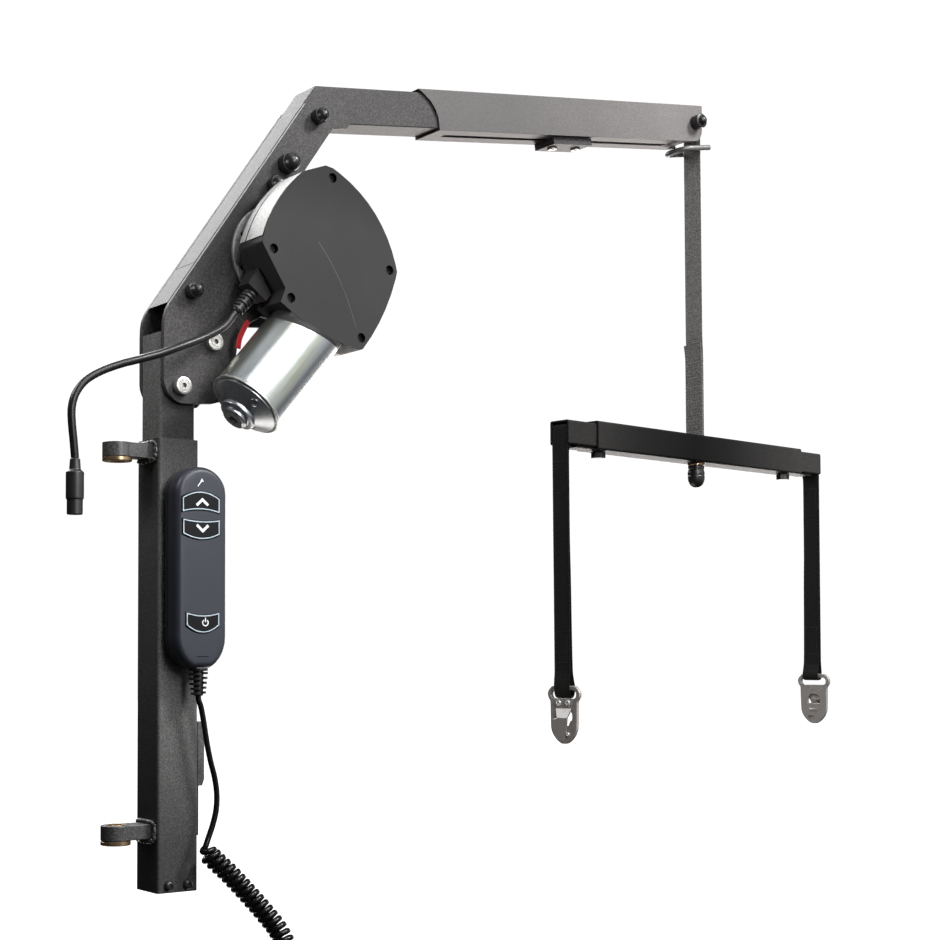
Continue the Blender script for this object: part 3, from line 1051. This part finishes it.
def connector_piece(side, sg):
    """The plate, then its latch leaf, screws and button on the outer face."""
    body = side.lower() + "_connector"
    z, n0 = LOOP_Z[side], PLATE_OFF[side]
    pin = sg * (ARM_END - 5.2)
    hang = bar_point(pin, 0, 0)
    # local x runs across, y up, and z along the bar; outward is the side away from the bar's middle
    fr = axes(hang, ND, (0, 0, 1))
    outward = 1 if (fr.to_3x3() @ Vector((0, 0, 1))).dot(UD * sg) > 0 else -1
    across = 1 if sg < 0 else -1      # the latch is handed, so the right plate is the left one turned round
    left = [(n0 - w, z + h) for w, h in WIDTHS]
    right = [(n0 + w, z + h) for w, h in reversed(WIDTHS)]
    outline = curve_through(left + right, 3)
    if side == "Left":
        hole = [(n0 + across * x, z + h) for x, h in arc(-2.4, -29.3, 8.8, -20, 200, 22) + [(-8.2, -34.0), (-6.3, -38.0), (-4.1, -38.5), (4.2, -38.2), (5.6, -35.0)]]
    else:
        hole = [(n, z + h) for n, h in arc(-2.95, -30.05, 8.75, -12, 192, 22) + [(-10.9, -32.6), (5.0, -32.6)]]
    slot = rounded(33, 8.2, 3.6, 6, n0, z - 6.45)
    plate = slab(side + "_Connector_Plate", [outline, slot, hole], 4.0, fr, 0.9, 4)
    link(plate, M_CAST, body, side + "_Connector", smooth=50)

    def place(x, h, d):
        return fr @ Vector(((n0 + across * x) * MM, (z + h) * MM, outward * d * MM))

    # latch leaf: flat under the screws, a step that faces up, then flat over the hole's left part
    rows = [(-11.6, -12.4, 12.6, 2.0), (-13.4, -12.6, 12.7, 2.0), (-20.3, -11.6, 11.6, 2.0), (-21.0, -10.5, 10.2, 2.1), (-25.8, -7.6, 9.6, 3.4),
            (-30.4, -4.5, 8.9, 4.6), (-31.0, -4.25, 10.0, 4.7), (-31.8, -4.2, 16.2, 4.7), (-36.5, -3.9, 16.6, 4.4), (-42.0, -3.1, 15.6, 4.0), (-47.5, -2.3, 12.9, 3.4),
            (-52.7, -0.9, 7.6, 2.9), (-54.8, 1.0, 4.0, 2.7)]
    # the outline was read along the camera's line, so a raised part sits further back along the plate
    rows = [(h, x0 - 0.873 * (d - 1.6), x1 - 0.873 * (d - 1.6), d) for h, x0, x1, d in rows]
    dense = []
    for a, b in zip(rows, rows[1:]):
        for k in range(4):
            t = k / 4
            dense.append(tuple(p + (q - p) * t for p, q in zip(a, b)))
    dense.append(rows[-1])
    verts, faces, cols = [], [], 9
    for h, x0, x1, d in dense:
        for layer in (0.0, -1.1):
            for j in range(cols):
                u = j / (cols - 1)
                soft = 0.35 * max(0.0, abs(2 * u - 1) - 0.75) / 0.25 if layer == 0.0 else 0.0
                verts.append(place(x0 + (x1 - x0) * u, h, max(1.9 if layer else 2.4, d + layer * 1.6 + 0.5 - soft)))
    w = 2 * cols
    for k in range(len(dense) - 1):
        for j in range(cols - 1):
            a = k * w + j
            faces.append((a, a + 1, a + w + 1, a + w))
            a += cols
            faces.append((a, a + w, a + w + 1, a + 1))
        for j in (0, cols - 1):
            a = k * w + j
            faces.append((a, a + w, a + w + cols, a + cols))
    for k in (0, len(dense) - 1):
        for j in range(cols - 1):
            a = k * w + j
            faces.append((a, a + 1, a + 1 + cols, a + cols))
    link(mesh_object(side + "_Connector_Latch", verts, faces), M_LATCH, body, smooth=26)
    # the worn, bright ramp of the latch
    quad = []
    for h, x0, x1, d in ((-20.8, -10.4, 10.1, 2.62), (-30.4, -4.5, 8.9, 5.12)):
        k = 0.873 * (d - 2.0)
        quad += [place(x0 - k, h, d), place(x1 - k, h, d), place(x0 - k, h, d + 0.25), place(x1 - k, h, d + 0.25)]
    link(mesh_object(side + "_Connector_Ramp", quad, [(0, 1, 5, 4), (2, 6, 7, 3), (0, 2, 3, 1), (4, 5, 7, 6), (0, 4, 6, 2), (1, 3, 7, 5)]), M_RAMP, body,
         smooth=26)
    ax = (place(0, 0, 10) - place(0, 0, 0)).normalized()
    for k, x in enumerate((5.8, -6.8)):
        ob = lathe("%s_Connector_Screw_%d" % (side, k + 1), [(0, 0.5), (1.1, 0.5), (1.3, 1.5), (2.0, 1.6), (2.7, 1.3), (3.1, 0.6), (3.15, -0.1), (0, -0.1)],
                   along(ax, place(x, -14.9, 2.9)), 32)
        link(ob, M_PIN, body, smooth=24)
    ob = lathe(side + "_Connector_Button", [(0, 2.2), (0.9, 2.1), (1.7, 1.6), (2.1, 0.8), (2.2, -0.1), (0, -0.1)], along(ax, place(-6.2, -46.8, 2.0)), 32)
    link(ob, M_PIN, body, smooth=40)
    # the inner face: two rivet ends, a pressed bump and a small hole's rim
    for k, (x, h) in enumerate(((4.0, -14.5), (-8.6, -15.8))):
        ob = lathe("%s_Connector_Rivet_%d" % (side, k + 1), [(0, 0.05), (1.5, 0.12), (2.2, 0.3), (2.6, 0.22), (2.8, -0.05), (0, -0.05)],
                   along(-ax, place(-x, h, -2.0)), 28)
        link(ob, M_CAST, body, smooth=24)
    low_x, low_h = (3.4, -49.0) if side == "Left" else (-3.75, -49.0)
    ob = lathe(side + "_Connector_Pin_End", [(0, 0.12), (3.0, 0.12), (3.5, 0.3), (4.1, 0.22), (4.3, -0.05), (0, -0.05)],
               along(-ax, place(low_x, low_h, -2.0), ND) @ Matrix.Diagonal((1.0, 0.5, 1.0, 1.0)), 32)
    link(ob, M_BROWN, body, smooth=24)
    ob = lathe(side + "_Connector_Bump", [(0, 1.3), (2.2, 1.2), (4.4, 0.8), (5.6, 0.2), (6.0, -0.05), (0, -0.05)],
               along(-ax, place(-0.8, -40.2, -2.0), ND) @ Matrix.Diagonal((1.0, 0.30, 1.0, 1.0)), 32)
    link(ob, M_CAST, body, smooth=50)


M_RAMP = steel("Worn bright ramp", 0.95, 0.55, 0.03, 500.0, (1.0, 0.99, 0.965), 0.0, 0.1)
M_BROWN = steel("Stained pin end", 0.16, 0.5, 0.3, 600.0, (1.0, 0.82, 0.62), 0.2)
connector_piece("Left", -1)
connector_piece("Right", 1)

# ------------------------------------------------------------ handset
r_ = SET_W / 2
lowpts = []
for t in range(180, 361, 5):
    p = (SET_X + r_ * cos(radians(t)), 221.5 + 28.9 * sin(radians(t)))
    if p[1] > SET_BOTTOM + 0.3:
        lowpts.append(p)
lowpts = [p for p in lowpts if p[0] < SET_X] + [(SET_X - 9, SET_BOTTOM), (SET_X + 9, SET_BOTTOM)] + [p for p in lowpts if p[0] > SET_X]
outline = [(SET_X + r_ * cos(radians(t)), SET_TOP - 24 + 24 * sin(radians(t))) for t in range(0, 181, 5)] + lowpts
outline = [p for k, p in enumerate(outline) if hypot(p[0] - outline[k - 1][0], p[1] - outline[k - 1][1]) > 0.2]


def section(depth, inset):
    """The outline drawn in towards its middle line, at one depth."""
    cx = SET_X
    pts = []
    n = len(outline)
    for k, (x, z) in enumerate(outline):
        (xa, za), (xb, zb) = outline[k - 1], outline[(k + 1) % n]
        dx, dz = xb - xa, zb - za
        c = hypot(dx, dz)
        pts.append(W(x - dz / c * inset, depth, z + dx / c * inset))
    return pts


def loft(name, rings):
    n = len(rings[0])
    verts = [p for ring in rings for p in ring]
    faces = []
    for k in range(len(rings) - 1):
        for i in range(n):
            j = (i + 1) % n
            faces.append((k * n + i, k * n + j, (k + 1) * n + j, (k + 1) * n + i))
    faces += [tuple(range(n)), tuple(range((len(rings) - 1) * n, len(rings) * n))]
    return mesh_object(name, verts, faces)


EDGE = 6.5
front_rings = [section(-31.0, 0.35), section(-31.6, 0.0), section(SET_FRONT + EDGE, 0.0)]
for t in range(9, 91, 9):
    a = radians(t)
    front_rings.append(section(SET_FRONT + EDGE - EDGE * sin(a) * 0.97, 5.2 * (1 - cos(a))))
front_rings.append(section(SET_FRONT + 0.06, 7.2))
front_rings.append(section(SET_FRONT, 10.0))
front = loft("Handset_Front_Shell", front_rings)


def pad(x0, x1, top_mid, top_side, low_mid, low_side, grow=0.0, n=12):
    cx, hw = (x0 + x1) / 2, (x1 - x0) / 2 + grow
    pts = []
    for k in range(n + 1):
        u = -1 + 2 * k / n
        pts.append((cx - u * hw, top_side + grow + (top_mid - top_side) * (1 - u * u)))
    for k in range(n + 1):
        u = 1 - 2 * k / n
        pts.append((cx - u * hw, low_side - grow + (low_mid - low_side) * (1 - u * u)))
    return pts


KEYS = {"Up_Button": (-13.2, 24.2, 347.0, 341.6, 330.6, 328.2),
        "Down_Button": (-12.8, 24.3, 321.3, 322.9, 305.0, 309.3),
        "Power_Button": (-9.2, 24.0, 240.2, 242.4, 224.3, 230.4)}
for name, k in KEYS.items():
    tool = side_plate(name + "_pocket", [pad(*k, grow=0.35)], SET_FRONT - 2, SET_FRONT + 2.8)
    front = boolean(front, tool)
link(front, M_SET, "handset", "Handset_Shell", smooth=24)
back = loft("Handset_Back_Shell", [section(SET_BACK, 3.4), section(SET_BACK - 0.9, 1.7), section(SET_BACK - 2.6, 0.5), section(SET_BACK - 4.5, 0.2),
                                   section(-30.2, 0.2), section(-30.7, 0.9)])
link(back, M_SETBACK, "handset", smooth=50)
for name, k in KEYS.items():
    body = name.lower()
    key = side_plate(name + "_Membrane", [pad(*k)], SET_FRONT - 0.9, SET_FRONT + 1.4, 0.35, 3)
    link(key, M_KEY, body, name)
    edge_line = pad(*k, grow=-1.05)
    stroke(name + "_Border", edge_line, 0.85, SET_FRONT - 0.9, M_EDGEPRINT, body, 0.10, closed=True)
stroke("Up_Button_Mark", [(0.9, 334.6), (6.5, 339.6), (12.2, 334.9)], 2.3, SET_FRONT - 0.9, M_PRINT, "up_button", 0.10)
stroke("Down_Button_Mark", [(1.1, 317.5), (6.9, 312.5), (12.4, 317.3)], 2.3, SET_FRONT - 0.9, M_PRINT, "down_button", 0.10)
ring = arc(9.7, 233.4, 2.7, 122, 418, 26)
stroke("Power_Button_Ring", ring, 0.8, SET_FRONT - 0.9, M_PRINT, "power_button", 0.10)
stroke("Power_Button_Bar", [(9.7, 237.5), (9.7, 233.9)], 0.8, SET_FRONT - 0.9, M_PRINT, "power_button", 0.12)
# a small plain mark over the keys
stroke("Handset_Mark_Stem", [(2.6, 351.2), (4.4, 353.6), (5.8, 355.0)], 0.8, SET_FRONT, M_PRINT, "handset", 0.08)
stroke("Handset_Mark_Head", [(5.5, 355.0), (6.6, 357.0), (7.8, 355.2)], 1.0, SET_FRONT, M_PRINT, "handset", 0.08)

# moulded relief: neck, then ribs cut through in turn on two sides
relief = lathe("Handset_Relief_Ribbed", [(0, 0), (8.1, 0), (8.5, -0.4), (8.5, -1.8), (8.1, -2.3), (4.6, -2.6), (4.2, -23.0), (3.7, -23.9), (0, -23.9)],
               Matrix.Translation(W(10.9, -36, SET_BOTTOM - 0.3)), 40)
link(relief, M_PLUG, "handset", "Handset_Relief")
verts, faces = [], []
for k in range(5):
    rr, z0 = 8.6 - 0.45 * k, -2.9 - 4.2 * k
    for half_, (a0, a1) in enumerate(((-80, 80), (100, 260))):
        zz = z0 - 0.4 - (1.0 if half_ else 0.0)
        base = len(verts)
        steps = 14
        for i in range(steps + 1):
            a = radians(a0 + (a1 - a0) * i / steps)
            for r1, z1 in ((3.9, zz), (rr - 0.3, zz), (rr, zz - 0.35), (rr, zz - 1.65), (rr - 0.3, zz - 2.0), (3.9, zz - 2.0)):
                verts.append(W(10.9, -36, SET_BOTTOM - 0.3) + Vector((r1 * cos(a), r1 * sin(a), z1)) * MM)
        for i in range(steps):
            for j in range(6):
                q = (j + 1) % 6
                faces.append((base + i * 6 + j, base + i * 6 + q, base + (i + 1) * 6 + q, base + (i + 1) * 6 + j))
        faces.append(tuple(base + j for j in range(6)))
        faces.append(tuple(base + steps * 6 + j for j in range(6)))
ribs = link(mesh_object("Handset_Relief_Ribs", verts, faces), M_PLUG, "handset", smooth=35)
plug_piece = lathe("Handset_Plug_Moulded", [(0, 0), (4.7, 0), (5.2, -0.5), (6.0, -11.0), (6.6, -12.2), (8.4, -13.6), (9, -14.4), (9, -20), (8.6, -20.5),
                                            (8.6, -22.0), (9, -22.5), (9, -37.2), (8.4, -38.4), (7.4, -39), (7.4, -51.5), (6.9, -52), (0, -52)],
                   Matrix.Translation(W(84.2, -75, -122.4)), 40)
link(plug_piece, M_PLUG, "handset", "Handset_Plug")

# ------------------------------------------------------------ floor and light
floor_me = bpy.data.meshes.new("Floor")
bm = bmesh.new()
bmesh.ops.create_circle(bm, cap_ends=True, segments=96, radius=25.0)
bm.to_mesh(floor_me)
bm.free()
floor = bpy.data.objects.new("Floor", floor_me)
floor.location = (0.4, 0.0, -0.62)
scene.collection.objects.link(floor)
fm = Mat("Pale floor")
fm.set(Base_Color=(0.55, 0.55, 0.55), Roughness=0.9, Specular_IOR_Level=0.0, Emission_Color=(1, 1, 1), Emission_Strength=1.3)
floor_me.materials.append(fm.m)
floor.visible_diffuse = floor.visible_glossy = False

world = bpy.data.worlds.new("Studio")
scene.world = world
world.use_nodes = True
t = world.node_tree
bg = t.nodes["Background"]
white = t.nodes.new("ShaderNodeBackground")
white.inputs[0].default_value, white.inputs[1].default_value = (1, 1, 1, 1), 1.05
bg.inputs[0].default_value, bg.inputs[1].default_value = (1, 1, 1, 1), 0.035
path = t.nodes.new("ShaderNodeLightPath")
mixer = t.nodes.new("ShaderNodeMixShader")
t.links.new(path.outputs["Is Camera Ray"], mixer.inputs[0])
t.links.new(bg.outputs[0], mixer.inputs[1])
t.links.new(white.outputs[0], mixer.inputs[2])
t.links.new(mixer.outputs[0], t.nodes["World Output"].inputs[0])
scene.view_settings.view_transform = "Standard"
scene.view_settings.look = "None"


def softbox(name, place, aim, w, h, power, colour=(1, 1, 1)):
    d = bpy.data.lights.new(name, "AREA")
    d.shape, d.size, d.size_y, d.energy, d.color = "RECTANGLE", w, h, power, colour
    o = bpy.data.objects.new(name, d)
    o.location = place
    o.rotation_mode = "QUATERNION"
    o.rotation_quaternion = (Vector(aim) - Vector(place)).to_track_quat("-Z", "Y")
    scene.collection.objects.link(o)
    o.visible_camera = False
    return o


softbox("Front wall", (1.87, -1.94, 0.9), (0.15, 0, 0.4), 3.2, 2.4, 16)
softbox("High key", (1.5, -1.8, 2.2), (0.35, 0, 0.45), 0.7, 0.7, 108)
softbox("Left fill", (0.12, -1.35, 0.8), (0.55, 0, 0.4), 0.4, 0.8, 13)
softbox("Left low", (-0.22, 0.0, 0.58), (0.03, 0, 0.50), 0.12, 0.12, 0.62)
softbox("Can strip", (-0.02, -1.15, 1.75), (0.25, 0, 0.38), 0.9, 0.35, 15)
softbox("Overhead", (0.1, 0.1, 2.7), (0.1, 0, 0.5), 1.6, 1.0, 8)
softbox("Top back", (0.25, 1.9, 1.85), (0.15, 0, 0.6), 1.5, 1.2, 52)
softbox("Right wall", (3.0, 0.6, 0.3), (0.4, 0, 0.35), 1.8, 2.0, 6)
softbox("Back right", (2.2, 1.8, 0.2), (0.5, 0, 0.5), 1.8, 1.0, 34, (1.0, 0.95, 0.92))
softbox("Under", (0.32, 0.45, -0.45), (0.15, -0.05, 0.35), 0.7, 0.5, 3.0, (1.0, 0.93, 0.86))

bpy.context.view_layer.update()
